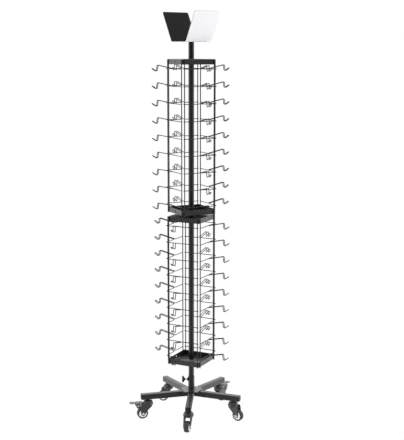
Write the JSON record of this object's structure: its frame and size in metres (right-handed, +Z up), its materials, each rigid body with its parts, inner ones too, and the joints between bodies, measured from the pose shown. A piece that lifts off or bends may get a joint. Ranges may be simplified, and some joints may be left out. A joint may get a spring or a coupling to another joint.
{
  "type": "rotating display rack",
  "caption": "Floor-standing display rack: two square wire hook racks spin on one mast over a five-arm caster base, with a leaning sign on top.",
  "frame": {"origin": "on the floor, in the middle of the whole rack's footprint; the mast's axis is 23 mm to its right and 9 mm behind it, because the brake levers make the footprint lopsided", "axes": "+Z up along the mast; +X the user's right and +Y away from the user, seen from the front, where one base arm points at the user"},
  "size_m": [0.5203, 0.4923, 1.8251],
  "materials": {
    "powder_coat": "black semi-gloss powder coat with a fine orange peel",
    "wire_coat": "black semi-gloss powder coat on drawn wire",
    "black_plastic": "moulded black plastic, fine texture",
    "caster_plastic": "moulded black nylon, satin",
    "tyre": "soft black rubber, worn matt on the tread",
    "wheel_hub": "light grey moulded plastic",
    "bright_steel": "zinc-plated steel",
    "lever_steel": "grey painted pressed steel",
    "bush_nylon": "natural nylon",
    "sign_black": "black satin sheet",
    "sign_card": "white printed card with a light grey border"
  },
  "bodies": {
    "base": {"hub_plate": "powder_coat", "socket_tube": "powder_coat", "base_arm_front": "powder_coat", "arm_end_cap_front": "black_plastic", "caster_stem_front": "powder_coat", "base_arm_right": "powder_coat", "arm_end_cap_right": "black_plastic", "caster_stem_right": "powder_coat", "base_arm_back_right": "powder_coat", "arm_end_cap_back_right": "black_plastic", "caster_stem_back_right": "powder_coat", "base_arm_back_left": "powder_coat", "arm_end_cap_back_left": "black_plastic", "caster_stem_back_left": "powder_coat", "base_arm_left": "powder_coat", "arm_end_cap_left": "black_plastic", "caster_stem_left": "powder_coat"},
    "mast": {"mast": "powder_coat", "lower_stop_collar": "bright_steel", "upper_stop_collar": "bright_steel", "mast_top_plug": "black_plastic", "sign_card": "sign_card", "sign_holder": "sign_black", "sign_screw": "bright_steel"},
    "lower_rack": {"lower_rack_base_tray": "powder_coat", "lower_rack_top_tray": "powder_coat", "lower_rack_base_bush": "bush_nylon", "lower_rack_top_bush": "bush_nylon", "lower_rack_hook_panel_1": "wire_coat", "lower_rack_hook_panel_2": "wire_coat", "lower_rack_hook_panel_3": "wire_coat", "lower_rack_hook_panel_4": "wire_coat"},
    "upper_rack": {"upper_rack_base_tray": "powder_coat", "upper_rack_top_tray": "powder_coat", "upper_rack_base_bush": "bush_nylon", "upper_rack_top_bush": "bush_nylon", "upper_rack_hook_panel_1": "wire_coat", "upper_rack_hook_panel_2": "wire_coat", "upper_rack_hook_panel_3": "wire_coat", "upper_rack_hook_panel_4": "wire_coat"},
    "clamp_screw": {"clamp_screw": "bright_steel"},
    "clamp_knob": {"clamp_knob": "black_plastic"},
    "fork_front": {"caster_fork_front": "caster_plastic"},
    "wheel_front": {"wheel_hub_front": "wheel_hub", "tyre_front": "tyre"},
    "fork_right": {"caster_fork_right": "caster_plastic"},
    "wheel_right": {"wheel_hub_right": "wheel_hub", "tyre_right": "tyre"},
    "fork_back_right": {"caster_fork_back_right": "caster_plastic"},
    "wheel_back_right": {"wheel_hub_back_right": "wheel_hub", "tyre_back_right": "tyre"},
    "lever_back_right": {"brake_lever_back_right": "lever_steel"},
    "fork_back_left": {"caster_fork_back_left": "caster_plastic"},
    "wheel_back_left": {"wheel_hub_back_left": "wheel_hub", "tyre_back_left": "tyre"},
    "fork_left": {"caster_fork_left": "caster_plastic"},
    "wheel_left": {"wheel_hub_left": "wheel_hub", "tyre_left": "tyre"},
    "lever_left": {"brake_lever_left": "lever_steel"}
  },
  "joints": [
    {"name": "mast_lift", "type": "slide", "parent": "base", "child": "mast", "axis": [0, 0, 1], "range_m": [0, 0.05]},
    {"name": "lower_rack_spin", "type": "hinge", "parent": "mast", "child": "lower_rack", "pos_m": [0.023, 0.0094, 0.2525], "axis": [0, 0, 1], "continuous": true},
    {"name": "upper_rack_spin", "type": "hinge", "parent": "mast", "child": "upper_rack", "pos_m": [0.023, 0.0094, 0.9425], "axis": [0, 0, 1], "continuous": true},
    {"name": "clamp_screw_travel", "type": "slide", "parent": "base", "child": "clamp_screw", "axis": [-1, 0, 0], "range_m": [0, 0.003]},
    {"name": "clamp_knob_turn", "type": "hinge", "parent": "clamp_screw", "child": "clamp_knob", "pos_m": [-0.0135, 0.0094, 0.166], "axis": [-1, 0, 0], "range_deg": [0, 1080]},
    {"name": "swivel_front", "type": "hinge", "parent": "base", "child": "fork_front", "pos_m": [0.0123, -0.19482, 0.0845], "axis": [0, 0, 1], "continuous": true},
    {"name": "wheel_spin_front", "type": "hinge", "parent": "fork_front", "child": "wheel_front", "pos_m": [0.00689, -0.22025, 0.025], "axis": [0.9781, -0.2079, 0], "continuous": true},
    {"name": "swivel_right", "type": "hinge", "parent": "base", "child": "fork_right", "pos_m": [0.21392, -0.06389, 0.0845], "axis": [0, 0, 1], "continuous": true},
    {"name": "wheel_spin_right", "type": "hinge", "parent": "fork_right", "child": "wheel_right", "pos_m": [0.23547, -0.07842, 0.025], "axis": [0.5592, 0.829, 0], "continuous": true},
    {"name": "swivel_back_right", "type": "hinge", "parent": "base", "child": "fork_back_right", "pos_m": [0.1517, 0.16833, 0.0845], "axis": [0, 0, 1], "continuous": true},
    {"name": "wheel_spin_back_right", "type": "hinge", "parent": "fork_back_right", "child": "wheel_back_right", "pos_m": [0.16623, 0.18988, 0.025], "axis": [-0.829, 0.5592, 0], "continuous": true},
    {"name": "brake_lever_press_back_right", "type": "hinge", "parent": "fork_back_right", "child": "lever_back_right", "pos_m": [0.1791, 0.20895, 0.0655], "axis": [-0.829, 0.5592, 0], "range_deg": [0, 14]},
    {"name": "swivel_back_left", "type": "hinge", "parent": "base", "child": "fork_back_left", "pos_m": [-0.08838, 0.18091, 0.0845], "axis": [0, 0, 1], "continuous": true},
    {"name": "wheel_spin_back_left", "type": "hinge", "parent": "fork_back_left", "child": "wheel_back_left", "pos_m": [-0.11349, 0.18764, 0.025], "axis": [-0.2588, -0.9659, 0], "continuous": true},
    {"name": "swivel_left", "type": "hinge", "parent": "base", "child": "fork_left", "pos_m": [-0.17453, -0.04353, 0.0845], "axis": [0, 0, 1], "continuous": true},
    {"name": "wheel_spin_left", "type": "hinge", "parent": "fork_left", "child": "wheel_left", "pos_m": [-0.19953, -0.05069, 0.025], "axis": [0.2756, -0.9613, 0], "continuous": true},
    {"name": "brake_lever_press_left", "type": "hinge", "parent": "fork_left", "child": "lever_left", "pos_m": [-0.22163, -0.05704, 0.0655], "axis": [0.2756, -0.9613, 0], "range_deg": [0, 14]}
  ],
  "couplings": [
    {"joint": "clamp_screw_travel", "follows": "clamp_knob_turn", "m_per_rad": 0.000159}
  ]
}
